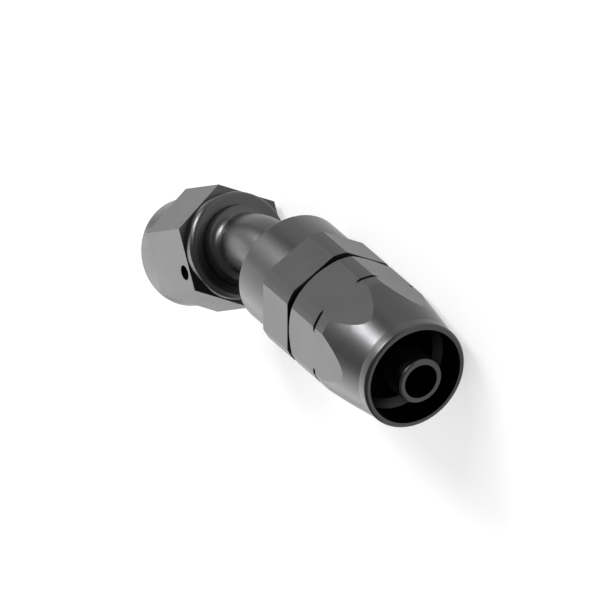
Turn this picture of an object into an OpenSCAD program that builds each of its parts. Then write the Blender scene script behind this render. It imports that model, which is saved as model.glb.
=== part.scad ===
// Reusable swivel hose end, size 4, with a 30 degree elbow.
// X is the main axis and runs from the hose mouth (X = 0) towards the elbow. The elbow
// lies in the XY plane and turns towards +Y. Two wrench flats of each hex face +Z and -Z.
// Threads are drawn as plain cylinders with a running clearance.

/* [Hexes] */
// Across flats of the socket's hex and the body's hex
body_af = 15.875; // [15.5:0.125:16.5]
// How far the turned corners of both hexes stand above their flats
corner_stand = 0.7; // [0.5:0.05:0.95]
// Across flats of the nut's hex
nut_af = 14.2875; // [14:0.0125:15]

/* [Socket] */
// Length of the socket from its mouth to its rear face
socket_len = 19.3; // [18.6:0.1:21]
// How far the round rim at the mouth lies below the flats
rim_drop = 0.47; // [0.3:0.01:0.7]
// Length of the round rim
rim_len = 1.7; // [1.2:0.1:2.4]
// Radius of the rim's outer edge
rim_round = 0.45; // [0.2:0.05:0.6]
// Distance from the mouth to the end of the taper
taper_end = 10.35; // [9:0.05:11]
// Wall of the rim
rim_wall = 0.75; // [0.6:0.05:1]
// Depth of the mouth's straight wall
mouth_depth = 4.5; // [1.5:0.1:5]
// Step from the mouth in to the bore that grips the hose
grip_step = 0.97; // [0.6:0.01:1.2]
// Wall between the flats and the socket's thread
thread_wall = 1.58; // [1.4:0.02:1.7]
// Distance from the mouth to the marking groove
mark_x = 12.45; // [11.6:0.05:14]
// Width of the marking groove
mark_w = 0.5; // [0.3:0.05:0.8]
// Depth of the marking groove below the turned corners
mark_depth = 0.25; // [0.1:0.05:0.35]
// Size of the chamfer at the rear end of the socket's hex
socket_chamfer = 1.05; // [0.6:0.05:1.2]

/* [Swivel body] */
// Gap between the socket's rear face and the body's hex
socket_gap = 0.1; // [0.1:0.05:0.8]
// Length of the body's hex
body_hex_len = 6.25; // [5:0.05:8]
// How far the round bell behind the hex lies below the flats
bell_drop = 0.11; // [0.05:0.01:0.4]
// Length of the bell
bell_len = 6.65; // [6:0.05:9]
// Length of the thread that holds the socket
body_thread_len = 6.6; // [6:0.1:7]
// Outside diameter of the hose nipple
nipple_d = 6.3; // [5.8:0.05:6.8]
// How far the nipple's tip stands out of the mouth
nipple_proud = 1.47; // [0.5:0.01:2.5]
// Radius of the nipple tip's outer edge
nipple_round = 0.35; // [0.1:0.05:0.5]
// Diameter of the fluid passage through the fitting
passage_d = 4.8; // [4:0.1:5]

/* [Elbow] */
// Angle of the elbow
bend_angle = 30; // [20:5:60]
// Radius of the elbow's centre line
bend_r = 11.5; // [10:0.1:14]
// Outside diameter of the bent tube
tube_d = 7.94; // [7.5:0.02:7.96]
// Radius of the corner between the tube and each of its collars
tube_round = 1.2; // [0.8:0.05:1.2]
// Straight length of the tube next to the body
body_straight = 3.04; // [1:0.02:8]
// Straight length of the tube next to the nut
nut_straight = 0.27; // [0.1:0.01:4]
// Diameter of the journal in the body
journal_d = 10.4; // [10.4:0.02:10.7]
// How far the journal reaches into the body
journal_len = 10.2; // [9.8:0.1:10.6]
// How far the journal stands out of the bell
journal_proud = 0.5; // [0.2:0.05:0.8]
// Diameter of the collar inside the nut
collar_d = 10.44; // [10.4:0.02:10.7]
// Half angle of the cone seat for the mating fitting
seat_angle = 37; // [30:1:45]
// Largest diameter of the cone seat
seat_d = 8.8; // [8:0.1:9.2]

/* [Nut] */
// Distance from the collar's rear face to the rear end of the nut's hex
collar_proud = 3.2; // [2.4:0.05:4]
// Length of the nut's hex
nut_hex_len = 9.8; // [9.4:0.1:12]
// Length of the round front end
nut_front_len = 3.65; // [3:0.05:5]
// Length of the round rear end
nut_rear_len = 1.75; // [1.2:0.05:2.4]
// How far the round ends of the nut lie below its flats
nut_round_drop = 0.12; // [0.05:0.01:0.4]
// Radius of the rear end's outer edge
nut_rear_edge = 0.75; // [0.3:0.05:0.9]
// Radius of the front end's outer edge
nut_front_edge = 0.2; // [0.1:0.05:0.6]
// Minor diameter of the nut's thread
nut_thread_d = 9.92; // [9.7:0.02:10.1]
// Length of the nut's thread
nut_thread_len = 7.5; // [6.5:0.1:8]

/* [Rings] */
// Diameter of the retaining wires
wire_d = 1.55; // [1.3:0.05:1.7]
// Diameter of the holes through which the wires are pushed in
wire_hole_d = 2; // [1.8:0.1:2.2]
// Sideways offset of the wire holes from the middle of their flat
wire_hole_offset = 1.66; // [0:0.01:2]
// Distance from the bell's rear face to the body's wire
body_wire_in = 2.8; // [2.4:0.1:3]
// Distance from the rear end of the nut's hex to its wire
nut_wire_in = 1.55; // [1.4:0.05:2]
// Radial height of a fitted seal ring
seal_h = 1.3; // [1.1:0.05:1.5]
// Width of a fitted seal ring
seal_w = 1.75; // [1.5:0.05:1.9]

/* [Clearances] */
// Radial clearance of each thread, journal and collar
run_gap = 0.06; // [0.04:0.01:0.09]
// Clearance round the wires and seals in their grooves
ring_gap = 0.03; // [0.02:0.01:0.05]

/* [Hidden] */
$fn = 96;

eps = 0.01;
far = 100;

flat_r = body_af / 2;
corner_r = flat_r + corner_stand;
rim_r = flat_r - rim_drop;
mouth_r = rim_r - rim_wall;
grip_r = mouth_r - grip_step;
thread_bore_r = flat_r - thread_wall;
body_thread_r = thread_bore_r - run_gap;
bell_r = flat_r - bell_drop;
body_hex_x = socket_len + socket_gap;
bell_x = body_hex_x + body_hex_len;
bell_end = bell_x + bell_len;
body_thread_x = body_hex_x - body_thread_len - 0.6;
thread_bore_x = body_thread_x - 0.5;

bell_bore_r = journal_d / 2 + run_gap;
journal_x = bell_end - journal_len;
bell_floor = journal_x - 0.3;
journal_end = bell_end + journal_proud;
bend_reach = bend_r * tan(bend_angle / 2);
corner_x = journal_end + tube_round + body_straight + bend_reach;
tube_r = tube_d / 2;
passage_r = passage_d / 2;
// Bending draws the tube in a little, inside and outside.
bent_tube_r = tube_r - 0.02;
bent_passage_r = passage_r - 0.05;
bend_lap = 0.05;

collar_s = bend_reach + nut_straight + tube_round;
nut_start = collar_s + collar_proud;
body_wire_x = bell_end - body_wire_in;
nut_wire_s = nut_start + nut_wire_in;
body_wire_r = journal_d / 2 + run_gap / 2;
nut_wire_r = collar_d / 2 + run_gap / 2;

nut_bore_r = collar_d / 2 + run_gap;
nut_rear = nut_start - nut_rear_len;
nut_end = nut_start + nut_hex_len + nut_front_len;
nut_r = nut_af / 2 - nut_round_drop;
mouth_chamfer = 0.6;
nut_thread_end = nut_end - mouth_chamfer;
nut_thread_s = nut_thread_end - nut_thread_len;
relief_len = 1;
relief_r = nut_thread_d / 2 + 0.8;
shoulder_s = nut_thread_s - relief_len;
collar_end = shoulder_s - 0.2;

seal_pitch = 2.7;
front_seal_x = journal_x + 2;
rear_seal_x = front_seal_x + seal_pitch;
seal_out_r = journal_d / 2 + run_gap - ring_gap;
seal_in_r = seal_out_r - seal_h;

// Turns a profile drawn in X (radius) and Y (distance) about the X axis.
module turned() {
    rotate([0, 90, 0]) rotate_extrude() children();
}

// Frame of the nut: its X axis is the mating fitting's axis, starting at the elbow's corner.
module nut_frame() {
    translate([corner_x, 0, 0]) rotate([0, 0, bend_angle]) children();
}

// Hex bar along X with its corners at +Y and -Y.
module hex_bar(af, from, to) {
    translate([from, 0, 0]) rotate([0, 90, 0]) rotate([0, 0, 30])
        cylinder(d = af / cos(30), h = to - from, $fn = 6);
}

// Radial band of a profile, from radius a to radius b and from distance p to distance q.
module band(a, b, p, q) {
    translate([a, p]) square([b - a, q - p]);
}

// Takes the outer corner at radius r and distance p down to a round edge. dir is 1 where
// the material ends at p and -1 where it starts there.
module edge_cut(r, p, round, dir) {
    translate([r - round, p - dir * round]) difference() {
        translate([0, dir > 0 ? 0 : -round - eps]) square(round + eps);
        circle(round);
    }
}

// Fills the inner corner between a wall of radius r and a face at distance p. dir is 1
// where the open side lies beyond p and -1 where it lies before it.
module corner_fill(r, p, round, dir) {
    difference() {
        translate([r - eps, dir > 0 ? p - eps : p - round]) square(round + eps);
        translate([r + round, p + dir * round]) circle(round);
    }
}

// Round groove for a wire of this diameter whose middle lies at radius r.
module wire_groove(r, p) {
    translate([r, p]) circle(d = wire_d + 2 * ring_gap);
}

// Hole through one wall for pushing the wire in, square to the flat that faces side * Z.
module wire_hole(from_r, to_r, p, side) {
    translate([p, wire_hole_offset, side > 0 ? from_r : -to_r])
        cylinder(d = wire_hole_d, h = to_r - from_r);
}

// Outside of the socket: round rim, straight taper, turned corners, marking groove, chamfer.
module socket_outline() {
    difference() {
        polygon([
            [0, 0], [rim_r, 0], [rim_r, rim_len], [corner_r, taper_end],
            [corner_r, socket_len - socket_chamfer],
            [corner_r - socket_chamfer, socket_len], [0, socket_len]
        ]);
        edge_cut(rim_r, 0, rim_round, -1);
        band(corner_r - mark_depth, corner_r + 1, mark_x - mark_w / 2, mark_x + mark_w / 2);
    }
}

// Bore of the socket: mouth, lead-in, grip bore and the larger threaded end.
module socket_bore() {
    polygon([
        [0, -1], [mouth_r, -1], [mouth_r, mouth_depth],
        [grip_r, mouth_depth + grip_step], [grip_r, thread_bore_x],
        [thread_bore_r, thread_bore_x], [thread_bore_r, socket_len - 0.4],
        [thread_bore_r + 0.45, socket_len + 0.05], [0, socket_len + 0.05]
    ]);
}

module socket() {
    color([0.17, 0.17, 0.18])
    difference() {
        intersection() {
            hex_bar(body_af, -1, socket_len + 1);
            turned() socket_outline();
        }
        turned() socket_bore();
    }
}

// Outside of the body: nipple, thread, undercut, turned hex corners and bell.
module body_outline() {
    lead = 0.5;
    thread_r = body_thread_r;
    undercut_x = body_thread_x + body_thread_len;
    difference() {
        union() {
            band(0, nipple_d / 2, -nipple_proud, body_thread_x + eps);
            polygon([
                [0, body_thread_x], [thread_r - lead, body_thread_x],
                [thread_r, body_thread_x + lead], [thread_r, undercut_x],
                [thread_r - lead, undercut_x], [thread_r - lead, body_hex_x], [0, body_hex_x]
            ]);
            band(0, corner_r, body_hex_x, bell_x);
            band(0, bell_r, bell_x - eps, bell_end);
        }
        edge_cut(nipple_d / 2, -nipple_proud, nipple_round, -1);
        edge_cut(bell_r, bell_end, 0.3, 1);
    }
}

module swivel_body() {
    color([0.16, 0.16, 0.17])
    difference() {
        intersection() {
            turned() body_outline();
            union() {
                hex_bar(body_af, body_hex_x, bell_x);
                turned() band(0, thread_bore_r, -far, body_hex_x + eps);
                turned() band(0, bell_r, bell_x - eps, far);
            }
        }
        turned() {
            band(0, passage_r, -nipple_proud - 1, bell_floor + eps);
            band(0, bell_bore_r, bell_floor, bell_end + 1);
            wire_groove(body_wire_r, body_wire_x);
        }
        wire_hole(body_wire_r, bell_r + 1, body_wire_x, -1);
    }
}

// Retaining wire bent to an open ring about the X axis.
module wire_ring(r, p) {
    translate([p, 0, 0]) rotate([0, 90, 0]) rotate([0, 0, 8])
        rotate_extrude(angle = 344) translate([r, 0]) circle(d = wire_d);
}

module swivel_wire() {
    color([0.72, 0.73, 0.75]) wire_ring(body_wire_r, body_wire_x);
}

// Seal ring squeezed flat between its groove and the bore.
module seal_ring(p) {
    half = seal_h / 2;
    turned() translate([seal_in_r + half, p]) {
        square([seal_h, seal_w - seal_h], center = true);
        for (side = [-1, 1]) translate([0, side * (seal_w - seal_h) / 2]) circle(half);
    }
}

module front_seal() {
    color([0.05, 0.05, 0.05]) seal_ring(front_seal_x);
}

module rear_seal() {
    color([0.05, 0.05, 0.05]) seal_ring(rear_seal_x);
}

// Groove in the journal for one seal ring.
module seal_groove(p) {
    half_w = seal_w / 2 + 0.15;
    band(seal_in_r - ring_gap, journal_d, p - half_w, p + half_w);
}

// Journal and first stretch of tube, on the main axis.
module journal_outline() {
    difference() {
        union() {
            band(0, journal_d / 2, journal_x, journal_end);
            band(0, tube_r, journal_end - eps, corner_x - bend_reach + bend_lap);
            corner_fill(tube_r, journal_end, tube_round, 1);
        }
        edge_cut(journal_d / 2, journal_x, 0.4, -1);
        seal_groove(front_seal_x);
        seal_groove(rear_seal_x);
        wire_groove(body_wire_r, body_wire_x);
    }
}

// Tube end and collar, on the nut's axis.
module collar_outline() {
    collar_r = collar_d / 2;
    difference() {
        union() {
            band(0, tube_r, bend_reach - bend_lap, collar_s + eps);
            corner_fill(tube_r, collar_s, tube_round, -1);
            polygon([
                [0, collar_s], [collar_r, collar_s], [collar_r, collar_end - 0.3],
                [collar_r - 0.3, collar_end], [0, collar_end]
            ]);
        }
        wire_groove(nut_wire_r, nut_wire_s);
    }
}

// Bar of this section radius round the elbow's bend.
module bend(r) {
    translate([corner_x - bend_reach, bend_r, 0]) rotate([0, 0, -90])
        rotate_extrude(angle = bend_angle) translate([bend_r, 0]) circle(r);
}

module elbow() {
    seat_depth = (seat_d / 2 - passage_r) / tan(seat_angle);
    color([0.24, 0.24, 0.25])
    difference() {
        union() {
            turned() journal_outline();
            bend(bent_tube_r);
            nut_frame() turned() collar_outline();
        }
        turned() band(0, passage_r, journal_x - 1, corner_x - bend_reach + bend_lap);
        bend(bent_passage_r);
        nut_frame() turned() {
            band(0, passage_r, bend_reach - bend_lap, collar_end + 1);
            polygon([
                [0, collar_end - seat_depth], [passage_r, collar_end - seat_depth],
                [seat_d / 2, collar_end], [seat_d / 2, collar_end + 1], [0, collar_end + 1]
            ]);
        }
    }
}

module nut_wire() {
    color([0.72, 0.73, 0.75]) nut_frame() wire_ring(nut_wire_r, nut_wire_s);
}

// Round ends of the nut, one behind the hex and one before it.
module nut_rounds() {
    hex_end = nut_start + nut_hex_len;
    difference() {
        union() {
            band(0, nut_r, nut_rear, nut_start + eps);
            band(0, nut_r, hex_end - eps, nut_end);
        }
        edge_cut(nut_r, nut_rear, nut_rear_edge, -1);
        edge_cut(nut_r, nut_end, nut_front_edge, 1);
    }
}

// Bore of the nut: collar bore, wire groove, undercut, thread and mouth chamfer.
module nut_bore() {
    thread_r = nut_thread_d / 2;
    band(0, nut_bore_r, nut_rear - 1, shoulder_s);
    wire_groove(nut_wire_r, nut_wire_s);
    band(0, relief_r, shoulder_s, nut_thread_s);
    band(0, thread_r, nut_thread_s - eps, nut_end);
    polygon([
        [0, nut_thread_end], [thread_r, nut_thread_end],
        [thread_r + mouth_chamfer, nut_end], [thread_r + mouth_chamfer, nut_end + 1],
        [0, nut_end + 1]
    ]);
}

module swivel_nut() {
    color([0.18, 0.18, 0.19])
    nut_frame() difference() {
        union() {
            hex_bar(nut_af, nut_start, nut_start + nut_hex_len);
            turned() nut_rounds();
        }
        turned() nut_bore();
        wire_hole(nut_wire_r, nut_af, nut_wire_s, 1);
    }
}

socket();
swivel_body();
swivel_wire();
front_seal();
rear_seal();
elbow();
nut_wire();
swivel_nut();
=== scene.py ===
import bpy
import bmesh
import math
from mathutils import Matrix, Vector


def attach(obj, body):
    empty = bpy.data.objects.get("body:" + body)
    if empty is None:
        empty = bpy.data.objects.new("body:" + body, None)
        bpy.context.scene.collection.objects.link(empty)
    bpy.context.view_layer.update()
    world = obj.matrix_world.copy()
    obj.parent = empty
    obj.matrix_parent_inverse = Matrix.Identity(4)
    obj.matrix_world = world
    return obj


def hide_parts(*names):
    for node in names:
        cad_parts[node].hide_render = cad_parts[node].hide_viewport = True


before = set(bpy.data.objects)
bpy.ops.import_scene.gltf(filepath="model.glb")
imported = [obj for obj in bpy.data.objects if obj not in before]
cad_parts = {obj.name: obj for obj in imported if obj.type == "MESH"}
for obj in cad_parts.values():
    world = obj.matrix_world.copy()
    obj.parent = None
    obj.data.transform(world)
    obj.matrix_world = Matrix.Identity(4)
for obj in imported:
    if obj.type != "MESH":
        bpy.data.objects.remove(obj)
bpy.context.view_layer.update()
scene = bpy.context.scene
print("stage: frame loaded,", len(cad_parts), "nodes")

mm = 0.001
flatAngles = (-150, -90, -30, 30, 90, 150)  # where the hex flats face, in degrees about X from +Y

elbowTurn = {
    "cornerX": 40.1214,  # where the two axes cross
    "angle": 30.0,
}
mainAxis = Matrix.Identity(4)
nutTurn = Matrix.Rotation(math.radians(elbowTurn["angle"]), 4, "Z")
nutAxis = Matrix.Translation((elbowTurn["cornerX"], 0, 0)) @ nutTurn


# Shaping: meshes are worked on in millimetres and scaled down at the end.

def cadCopy(node, name):
    weld = 0.0002
    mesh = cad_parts[node].data.copy()
    mesh.name = name
    if "custom_normal" in mesh.attributes:
        mesh.attributes.remove(mesh.attributes["custom_normal"])
    mesh.transform(Matrix.Scale(1 / mm, 4))
    work = bmesh.new()
    work.from_mesh(mesh)
    bmesh.ops.remove_doubles(work, verts=work.verts, dist=weld)
    bmesh.ops.dissolve_degenerate(work, edges=work.edges, dist=weld)
    work.to_mesh(mesh)
    work.free()
    mesh.materials.clear()
    piece = bpy.data.objects.new(name, mesh)
    scene.collection.objects.link(piece)
    return piece


def helixCutter(groove, place):
    # a V-shaped ridge wound right-handed about X, as wide in the air as its flanks make it;
    # it rises to its full depth over the first fadeTurns
    stepsPerTurn = 56
    thinnest = 0.06  # share of the depth at the start of the rise
    steps = math.ceil((groove["end"] - groove["start"]) / groove["pitch"] * stepsPerTurn)
    halfRoot = groove["rootFlat"] / 2
    work = bmesh.new()
    rings = []
    for i in range(steps + 1):
        turn = i / stepsPerTurn
        angle = turn * 2 * math.pi
        x = groove["start"] + turn * groove["pitch"]
        fade = min(1.0, turn / groove["fadeTurns"]) if groove["fadeTurns"] else 1.0
        root = groove["wall"] + (groove["root"] - groove["wall"]) * (thinnest + (1 - thinnest) * fade)
        halfAir = halfRoot + abs(root - groove["air"]) * math.tan(math.radians(groove["flank"]))
        profile = ((groove["air"], -halfAir), (root, -halfRoot), (root, halfRoot), (groove["air"], halfAir))
        rings.append([
            work.verts.new((x + offset, radius * math.cos(angle), radius * math.sin(angle)))
            for radius, offset in profile
        ])
    for a, b in zip(rings, rings[1:]):
        for k in range(4):
            work.faces.new((a[k], a[(k + 1) % 4], b[(k + 1) % 4], b[k]))
    work.faces.new(rings[0])
    work.faces.new(list(reversed(rings[-1])))
    bmesh.ops.recalc_face_normals(work, faces=work.faces)
    mesh = bpy.data.meshes.new("helixCutter")
    work.to_mesh(mesh)
    work.free()
    mesh.transform(place)
    cutter = bpy.data.objects.new("helixCutter", mesh)
    scene.collection.objects.link(cutter)
    return cutter


def cutAway(piece, cutter):
    modifier = piece.modifiers.new("cut", "BOOLEAN")
    modifier.operation = "DIFFERENCE"
    modifier.solver = "EXACT"
    modifier.object = cutter
    bpy.context.view_layer.update()
    evaluated = piece.evaluated_get(bpy.context.evaluated_depsgraph_get())
    mesh = bpy.data.meshes.new_from_object(evaluated)
    piece.modifiers.clear()
    old = piece.data
    piece.data = mesh
    mesh.name = piece.name
    bpy.data.meshes.remove(old)
    cutterMesh = cutter.data
    bpy.data.objects.remove(cutter)
    bpy.data.meshes.remove(cutterMesh)


def isFlat(face, toAxis, turnBack, reach):
    # true on the six wrench flats of a hex with this distance from axis to flat
    tiltLimit = 0.01
    reachLimit = 0.02  # mm
    angleLimit = 0.6  # degrees
    normal = turnBack @ face.normal
    if abs(normal.x) > tiltLimit:
        return False
    centre = toAxis @ face.calc_center_median()
    if abs(normal.dot(centre) - reach) > reachLimit:
        return False
    angle = math.degrees(math.atan2(normal.z, normal.y))
    return any(abs((angle - flat + 180) % 360 - 180) < angleLimit for flat in flatAngles)


def isBore(face, toAxis, turnBack, reach):
    # true on everything nearer to the axis than reach, and on walls just past it that face the axis
    wallRoom = 0.3  # mm
    inward = -0.2
    tiny = 0.001
    normal = turnBack @ face.normal
    centre = toAxis @ face.calc_center_median()
    radius = math.hypot(centre.y, centre.z)
    if radius > reach + wallRoom:
        return False
    outward = (normal.y * centre.y + normal.z * centre.z) / max(radius, tiny)
    return radius < reach or outward < inward


def finishSurface(piece, place, reach, materials, sharpAngle=22, boreReach=0, creases=()):
    # turned faces take the first material, wrench flats the second and bores the third, a near-black
    # painted shade for the inside of the bore;
    # edges are crisp where they meet and at the creases, which are places along the axis
    creaseLimit = 0.01  # mm
    toAxis = place.inverted()
    turnBack = toAxis.to_3x3()
    mesh = piece.data
    work = bmesh.new()
    work.from_mesh(mesh)
    work.normal_update()
    for face in work.faces:
        face.smooth = True
        face.material_index = 1 if reach and isFlat(face, toAxis, turnBack, reach) else 0
        # bore faces take the near-black painted shade material
        if boreReach and isBore(face, toAxis, turnBack, boreReach):
            face.material_index = 2
    for edge in work.edges:
        if len(edge.link_faces) != 2:
            edge.smooth = False
            continue
        a, b = edge.link_faces
        angle = math.degrees(a.normal.angle(b.normal, 0))
        along = [(toAxis @ vert.co).x for vert in edge.verts]
        creased = any(all(abs(x - crease) < creaseLimit for x in along) for crease in creases)
        edge.smooth = a.material_index == b.material_index and angle < sharpAngle and not creased
    work.to_mesh(mesh)
    work.free()
    mesh.transform(Matrix.Scale(mm, 4))
    mesh.materials.clear()
    for material in materials:
        mesh.materials.append(material)


def mount(piece, body, slotName, *nodes):
    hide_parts(*nodes)
    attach(piece, body)


# Shader groups

def newGroup(name, inputs, outputs):
    group = bpy.data.node_groups.new(name, "ShaderNodeTree")
    for label, kind, value in inputs:
        socket = group.interface.new_socket(name=label, in_out="INPUT", socket_type=kind)
        if value is not None:
            socket.default_value = value
    for label, kind in outputs:
        group.interface.new_socket(name=label, in_out="OUTPUT", socket_type=kind)
    start = group.nodes.new("NodeGroupInput")
    start.location = (-900, 0)
    end = group.nodes.new("NodeGroupOutput")
    end.location = (700, 0)
    return group, start, end


def noiseNode(group, x, y, scale, detail, roughness=0.5):
    node = group.nodes.new("ShaderNodeTexNoise")
    node.location = (x, y)
    node.inputs["Scale"].default_value = scale
    node.inputs["Detail"].default_value = detail
    node.inputs["Roughness"].default_value = roughness
    return node


def rangeNode(group, x, y, fromLow, fromHigh, toLow, toHigh):
    node = group.nodes.new("ShaderNodeMapRange")
    node.location = (x, y)
    node.inputs["From Min"].default_value = fromLow
    node.inputs["From Max"].default_value = fromHigh
    node.inputs["To Min"].default_value = toLow
    node.inputs["To Max"].default_value = toHigh
    return node


def mathNode(group, x, y, operation):
    node = group.nodes.new("ShaderNodeMath")
    node.location = (x, y)
    node.operation = operation
    return node


def buildCloudySkin():
    # colour and roughness of a skin: cloudy tone, fine grain and faint handling smears
    group, start, end = newGroup("cloudySkin", [
        ("Vector", "NodeSocketVector", None),
        ("Tone", "NodeSocketColor", (0.04, 0.04, 0.04, 1)),
        ("Light Tone", "NodeSocketColor", (0.08, 0.08, 0.08, 1)),
        ("Cloudiness", "NodeSocketFloat", 0.3),
        ("Satin", "NodeSocketFloat", 0.35),
        ("Satin Spread", "NodeSocketFloat", 0.06),
    ], [
        ("Color", "NodeSocketColor"),
        ("Roughness", "NodeSocketFloat"),
    ])
    link = group.links.new
    cloud = noiseNode(group, -650, 200, scale=220, detail=3)
    grain = noiseNode(group, -650, -80, scale=4200, detail=2)
    smear = noiseNode(group, -650, -340, scale=90, detail=4, roughness=0.65)
    for node in (cloud, grain, smear):
        link(start.outputs["Vector"], node.inputs["Vector"])
    cloudRange = rangeNode(group, -420, 200, fromLow=0.35, fromHigh=0.7, toLow=0, toHigh=1)
    link(cloud.outputs["Fac"], cloudRange.inputs["Value"])
    toned = mathNode(group, -220, 200, "MULTIPLY")
    link(cloudRange.outputs["Result"], toned.inputs[0])
    link(start.outputs["Cloudiness"], toned.inputs[1])
    mix = group.nodes.new("ShaderNodeMix")
    mix.data_type = "RGBA"
    mix.location = (0, 200)
    link(toned.outputs[0], mix.inputs["Factor"])
    link(start.outputs["Tone"], mix.inputs[6])
    link(start.outputs["Light Tone"], mix.inputs[7])
    link(mix.outputs[2], end.inputs["Color"])
    grainRange = rangeNode(group, -420, -80, fromLow=0.3, fromHigh=0.7, toLow=-0.5, toHigh=0.5)
    link(grain.outputs["Fac"], grainRange.inputs["Value"])
    smearRange = rangeNode(group, -420, -340, fromLow=0.35, fromHigh=0.75, toLow=-0.5, toHigh=0.5)
    link(smear.outputs["Fac"], smearRange.inputs["Value"])
    both = mathNode(group, -220, -200, "ADD")
    link(grainRange.outputs["Result"], both.inputs[0])
    link(smearRange.outputs["Result"], both.inputs[1])
    spread = mathNode(group, 0, -200, "MULTIPLY")
    link(both.outputs[0], spread.inputs[0])
    link(start.outputs["Satin Spread"], spread.inputs[1])
    total = mathNode(group, 200, -100, "ADD")
    link(spread.outputs[0], total.inputs[0])
    link(start.outputs["Satin"], total.inputs[1])
    link(total.outputs[0], end.inputs["Roughness"])
    return group


def buildToolMarks():
    # height of fine marks that run across the long direction of the stretched vector
    group, start, end = newGroup("toolMarks", [
        ("Vector", "NodeSocketVector", None),
        ("Coarse", "NodeSocketFloat", 0.6),
        ("Fine", "NodeSocketFloat", 0.4),
    ], [("Height", "NodeSocketFloat")])
    link = group.links.new
    both = mathNode(group, 0, 0, "ADD")
    for i, (label, y, scale) in enumerate((("Coarse", 150, 1.0), ("Fine", -150, 5.0))):
        marks = noiseNode(group, -600, y, scale=scale, detail=2)
        link(start.outputs["Vector"], marks.inputs["Vector"])
        weighted = mathNode(group, -300, y, "MULTIPLY")
        link(marks.outputs["Fac"], weighted.inputs[0])
        link(start.outputs[label], weighted.inputs[1])
        link(weighted.outputs[0], both.inputs[i])
    link(both.outputs[0], end.inputs["Height"])
    return group


cloudySkin = buildCloudySkin()
toolMarks = buildToolMarks()


# Materials

def newMaterial(name):
    material = bpy.data.materials.new(name)
    material.use_nodes = True
    tree = material.node_tree
    shader = tree.nodes["Principled BSDF"]
    return material, tree, shader


def skinMaterial(name, finish):
    # a smooth piece with the cloudy skin
    material, tree, shader = newMaterial(name)
    link = tree.links.new
    coords = tree.nodes.new("ShaderNodeTexCoord")
    coords.location = (-1100, 0)
    skin = tree.nodes.new("ShaderNodeGroup")
    skin.node_tree = cloudySkin
    skin.location = (-400, 200)
    skin.inputs["Tone"].default_value = (*finish["tone"], 1)
    skin.inputs["Light Tone"].default_value = (*finish["lightTone"], 1)
    skin.inputs["Cloudiness"].default_value = finish["cloudiness"]
    skin.inputs["Satin"].default_value = finish["satin"]
    skin.inputs["Satin Spread"].default_value = finish["satinSpread"]
    link(coords.outputs["Object"], skin.inputs["Vector"])
    link(skin.outputs["Color"], shader.inputs["Base Color"])
    link(skin.outputs["Roughness"], shader.inputs["Roughness"])
    shader.inputs["Metallic"].default_value = finish["metallic"]
    shader.inputs["IOR"].default_value = finish["ior"]
    return material, tree, shader, coords


def markedMaterial(name, finish, turn, stretch):
    # turn brings the piece's own axis onto X; stretch sets which way the tool marks run
    material, tree, shader, coords = skinMaterial(name, finish)
    link = tree.links.new
    turning = tree.nodes.new("ShaderNodeMapping")
    turning.location = (-900, -250)
    turning.inputs["Rotation"].default_value = (0, 0, math.radians(-turn))
    link(coords.outputs["Object"], turning.inputs["Vector"])
    stretching = tree.nodes.new("ShaderNodeMapping")
    stretching.location = (-650, -250)
    stretching.inputs["Scale"].default_value = stretch
    link(turning.outputs["Vector"], stretching.inputs["Vector"])
    marks = tree.nodes.new("ShaderNodeGroup")
    marks.node_tree = toolMarks
    marks.location = (-400, -250)
    link(stretching.outputs["Vector"], marks.inputs["Vector"])
    bump = tree.nodes.new("ShaderNodeBump")
    bump.location = (-180, -250)
    bump.inputs["Strength"].default_value = finish["markStrength"]
    bump.inputs["Distance"].default_value = finish["markDepth"]
    link(marks.outputs["Height"], bump.inputs["Height"])
    link(bump.outputs["Normal"], shader.inputs["Normal"])
    return material


blackAnodised = {
    "tone": (0.072, 0.072, 0.074),
    "lightTone": (0.088, 0.088, 0.090),
    "cloudiness": 0.35,
    "satin": 0.34,
    "satinSpread": 0.05,
    "markStrength": 0.25,
    "markDepth": 0.00002,
    "metallic": 1.0,
    "ior": 1.5,
}
greyAnodised = dict(blackAnodised, tone=(0.078, 0.078, 0.080), lightTone=(0.095, 0.095, 0.097))
# painted shade: the bore is near-black and barely reflective, much darker than the black anodising, to
# stand in for the shade inside the mouth
boreAnodisedPaintedShade = dict(
    blackAnodised,
    tone=(0.003, 0.003, 0.003),
    lightTone=(0.005, 0.005, 0.005),
    satin=0.5,
    metallic=0.0,
    ior=1.35,
)
drawnWire = {
    "tone": (0.42, 0.43, 0.45),
    "lightTone": (0.55, 0.56, 0.58),
    "cloudiness": 0.6,
    "satin": 0.28,
    "satinSpread": 0.08,
    "metallic": 1.0,
    "ior": 1.5,
}
oiledRubber = {
    "tone": (0.012, 0.012, 0.012),
    "lightTone": (0.02, 0.02, 0.02),
    "cloudiness": 0.5,
    "satin": 0.5,
    "satinSpread": 0.1,
    "metallic": 0.0,
    "ior": 1.5,
}
ringMarks = (3500, 60, 60)  # turned: rings about the axis
lengthMarks = (120, 2600, 2600)  # milled or drawn: lines along the axis

turnedBlack = markedMaterial("turnedBlackAnodised", blackAnodised, 0, ringMarks)
milledBlack = markedMaterial("milledBlackAnodised", blackAnodised, 0, lengthMarks)
borePaintedShade = markedMaterial("borePaintedShadeAnodised", boreAnodisedPaintedShade, 0, ringMarks)
turnedGrey = markedMaterial("turnedGreyAnodised", greyAnodised, elbowTurn["angle"], ringMarks)
milledGrey = markedMaterial("milledGreyAnodised", greyAnodised, elbowTurn["angle"], lengthMarks)
drawnGrey = markedMaterial("drawnGreyAnodised", greyAnodised, elbowTurn["angle"] / 2, lengthMarks)
wireSteel = skinMaterial("drawnWire", drawnWire)[0]
sealRubber = skinMaterial("oiledRubber", oiledRubber)[0]
print("stage: materials made")


# Pieces

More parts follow.
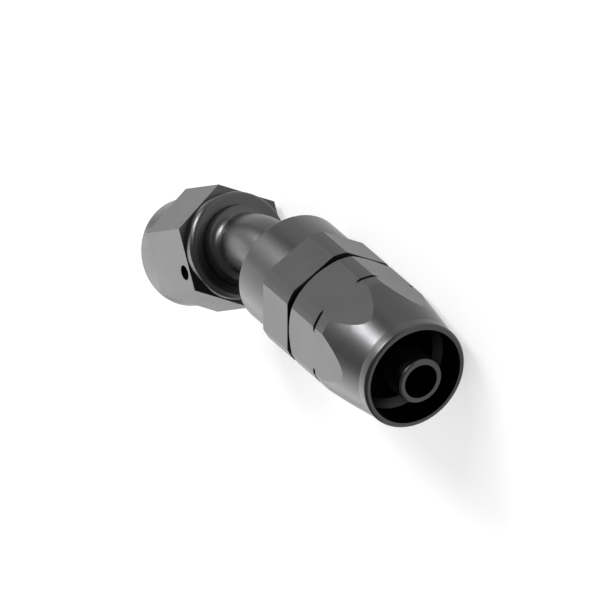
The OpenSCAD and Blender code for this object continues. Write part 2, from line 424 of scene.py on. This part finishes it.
socketShape = {
    "flatReach": 15.875 / 2,
    "boreReach": 6.6,
    "threadBore": {
        "start": 12.1, "end": 20.3, "pitch": 1.27, "air": 6.0, "wall": 6.3575, "root": 6.86,
        "rootFlat": 0.16, "flank": 30, "fadeTurns": 0.6,
    },
    "creases": (1.7, 10.35),  # ends of the taper
}
socket = cadCopy("socket", "hoseSocket")
cutAway(socket, helixCutter(socketShape["threadBore"], mainAxis))
finishSurface(socket, mainAxis, socketShape["flatReach"], [turnedBlack, milledBlack, borePaintedShade],
              boreReach=socketShape["boreReach"], creases=socketShape["creases"])
mount(socket, "socket", "socket_black", "socket")
print("stage: socket,", len(socket.data.polygons), "faces")

bodyShape = {
    "flatReach": 15.875 / 2,
    "socketThread": {
        "start": 11.0, "end": 19.05, "pitch": 1.27, "air": 6.6, "wall": 6.3, "root": 5.82,
        "rootFlat": 0.2, "flank": 30, "fadeTurns": 0,
    },
}
body = cadCopy("swivel_body", "swivelBody")
cutAway(body, helixCutter(bodyShape["socketThread"], mainAxis))
finishSurface(body, mainAxis, bodyShape["flatReach"], [turnedBlack, milledBlack])
mount(body, "swivel_body", "body_black", "swivel_body")
print("stage: body,", len(body.data.polygons), "faces")

nutShape = {
    "flatReach": 14.2875 / 2,
    "nutThread": {
        "start": 12.6, "end": 22.2, "pitch": 1.27, "air": 4.66, "wall": 4.96, "root": 5.55,
        "rootFlat": 0.16, "flank": 30, "fadeTurns": 0,
    },
}
nut = cadCopy("swivel_nut", "unionNut")
cutAway(nut, helixCutter(nutShape["nutThread"], nutAxis))
finishSurface(nut, nutAxis, nutShape["flatReach"], [turnedGrey, milledGrey])
mount(nut, "swivel_nut", "nut_grey", "swivel_nut")
print("stage: nut,", len(nut.data.polygons), "faces")

elbow = cadCopy("elbow", "bentElbow")
finishSurface(elbow, nutAxis, None, [drawnGrey])
mount(elbow, "elbow", "elbow_grey", "elbow")

for node, name, bodyName, slotName, material in (
    ("swivel_wire", "bodyWire", "wire_carrier", "wire_steel", wireSteel),
    ("nut_wire", "nutWire", "elbow", "wire_steel", wireSteel),
    ("front_seal", "frontSeal", "elbow", "seal_rubber", sealRubber),
    ("rear_seal", "rearSeal", "elbow", "seal_rubber", sealRubber),
):
    piece = cadCopy(node, name)
    finishSurface(piece, mainAxis, None, [material], sharpAngle=50)
    mount(piece, bodyName, slotName, node)
print("stage: elbow, wires and seals")


# Floor, light and camera

studio = {
    "floorZ": -7.95,
    "underZ": -110,
    "sheetSize": 4000,
    "floorGrey": 0.4,
    "floorLift": 0.62,  # glow that lifts the floor to white where it is seen
    "worldLevel": 0.25,
}


def levelSheet(name, height, material):
    half = studio["sheetSize"] * mm / 2
    mesh = bpy.data.meshes.new(name)
    mesh.from_pydata(
        [(-half, -half, 0), (half, -half, 0), (half, half, 0), (-half, half, 0)], [], [(0, 1, 2, 3)])
    mesh.materials.append(material)
    sheet = bpy.data.objects.new(name, mesh)
    sheet.location = (0, 0, height * mm)
    scene.collection.objects.link(sheet)


def floorMaterial():
    material, tree, shader = newMaterial("paleFloor")
    link = tree.links.new
    grey = studio["floorGrey"]
    shader.inputs["Base Color"].default_value = (grey, grey, grey, 1)
    shader.inputs["Roughness"].default_value = 1.0
    shader.inputs["Specular IOR Level"].default_value = 0.0
    sight = tree.nodes.new("ShaderNodeLightPath")
    sight.location = (-750, -200)
    direct = mathNode(tree, -550, -200, "MAXIMUM")
    link(sight.outputs["Is Camera Ray"], direct.inputs[0])
    link(sight.outputs["Is Glossy Ray"], direct.inputs[1])
    anyWay = mathNode(tree, -380, -200, "MAXIMUM")
    link(direct.outputs[0], anyWay.inputs[0])
    link(sight.outputs["Is Transmission Ray"], anyWay.inputs[1])
    lift = mathNode(tree, -200, -200, "MULTIPLY")
    link(anyWay.outputs[0], lift.inputs[0])
    lift.inputs[1].default_value = studio["floorLift"]
    shader.inputs["Emission Color"].default_value = (1, 1, 1, 1)
    link(lift.outputs[0], shader.inputs["Emission Strength"])
    return material


whiteGlow, glowTree, glowShader = newMaterial("whiteUnderSheet")
glowShader.inputs["Emission Color"].default_value = (1, 1, 1, 1)
glowShader.inputs["Emission Strength"].default_value = 1.0
levelSheet("paleFloor", studio["floorZ"], floorMaterial())
levelSheet("whiteUnderSheet", studio["underZ"], whiteGlow)  # what a low camera sees below the floor

world = bpy.data.worlds.new("studio")
scene.world = world
world.use_nodes = True
background = world.node_tree.nodes["Background"]
background.inputs["Color"].default_value = (1, 1, 1, 1)
background.inputs["Strength"].default_value = studio["worldLevel"]

lamps = {
    "aim": (24, 2, 0),
    "distance": 1.0,
    "softBoxes": (
        {"name": "backSoftBox", "toward": (0.733, 0.532, 0.423), "width": 1.2, "height": 0.8, "power": 7.8},
        {"name": "fillSoftBox", "toward": (0.76, -0.36, 0.54), "width": 0.9, "height": 0.75, "power": 2.4},
        {"name": "keyLamp", "toward": (0.46, -0.70, 0.55), "width": 0.4, "height": 0.2, "power": 6.5},
        {"name": "edgeLamp", "toward": (0.10, -0.76, 0.64), "width": 0.5, "height": 0.3, "power": 4.5},
    ),
}
for softBox in lamps["softBoxes"]:
    data = bpy.data.lights.new(softBox["name"], "AREA")
    data.shape = "RECTANGLE"
    data.size = softBox["width"]
    data.size_y = softBox["height"]
    data.energy = softBox["power"]
    lamp = bpy.data.objects.new(softBox["name"], data)
    away = Vector(softBox["toward"]).normalized()
    lamp.location = Vector(lamps["aim"]) * mm + away * lamps["distance"]
    lamp.rotation_euler = (-away).to_track_quat("-Z", "Y").to_euler()
    scene.collection.objects.link(lamp)

cameraPlace = {
    "aim": (11.76, -8.59, 10.45),
    "right": (-0.5, 0.0, -0.8660254),
    "up": (0.4330127, -0.8660254, -0.25),
    "back": (-0.75, -0.5, 0.4330127),
    "distance": 400,
    "width": 77.70,
}
cameraData = bpy.data.cameras.new("photoCamera")
cameraData.type = "ORTHO"
cameraData.ortho_scale = cameraPlace["width"] * mm
cameraData.clip_start = 0.01
cameraData.clip_end = 20
camera = bpy.data.objects.new("photoCamera", cameraData)
scene.collection.objects.link(camera)
right, up, back = (Vector(cameraPlace[key]).normalized() for key in ("right", "up", "back"))
stand = (Vector(cameraPlace["aim"]) + back * cameraPlace["distance"]) * mm
camera.matrix_world = Matrix((
    (right.x, up.x, back.x, stand.x),
    (right.y, up.y, back.y, stand.y),
    (right.z, up.z, back.z, stand.z),
    (0, 0, 0, 1),
))
scene.camera = camera
scene.view_settings.view_transform = "Standard"
print("stage: floor, light and camera")
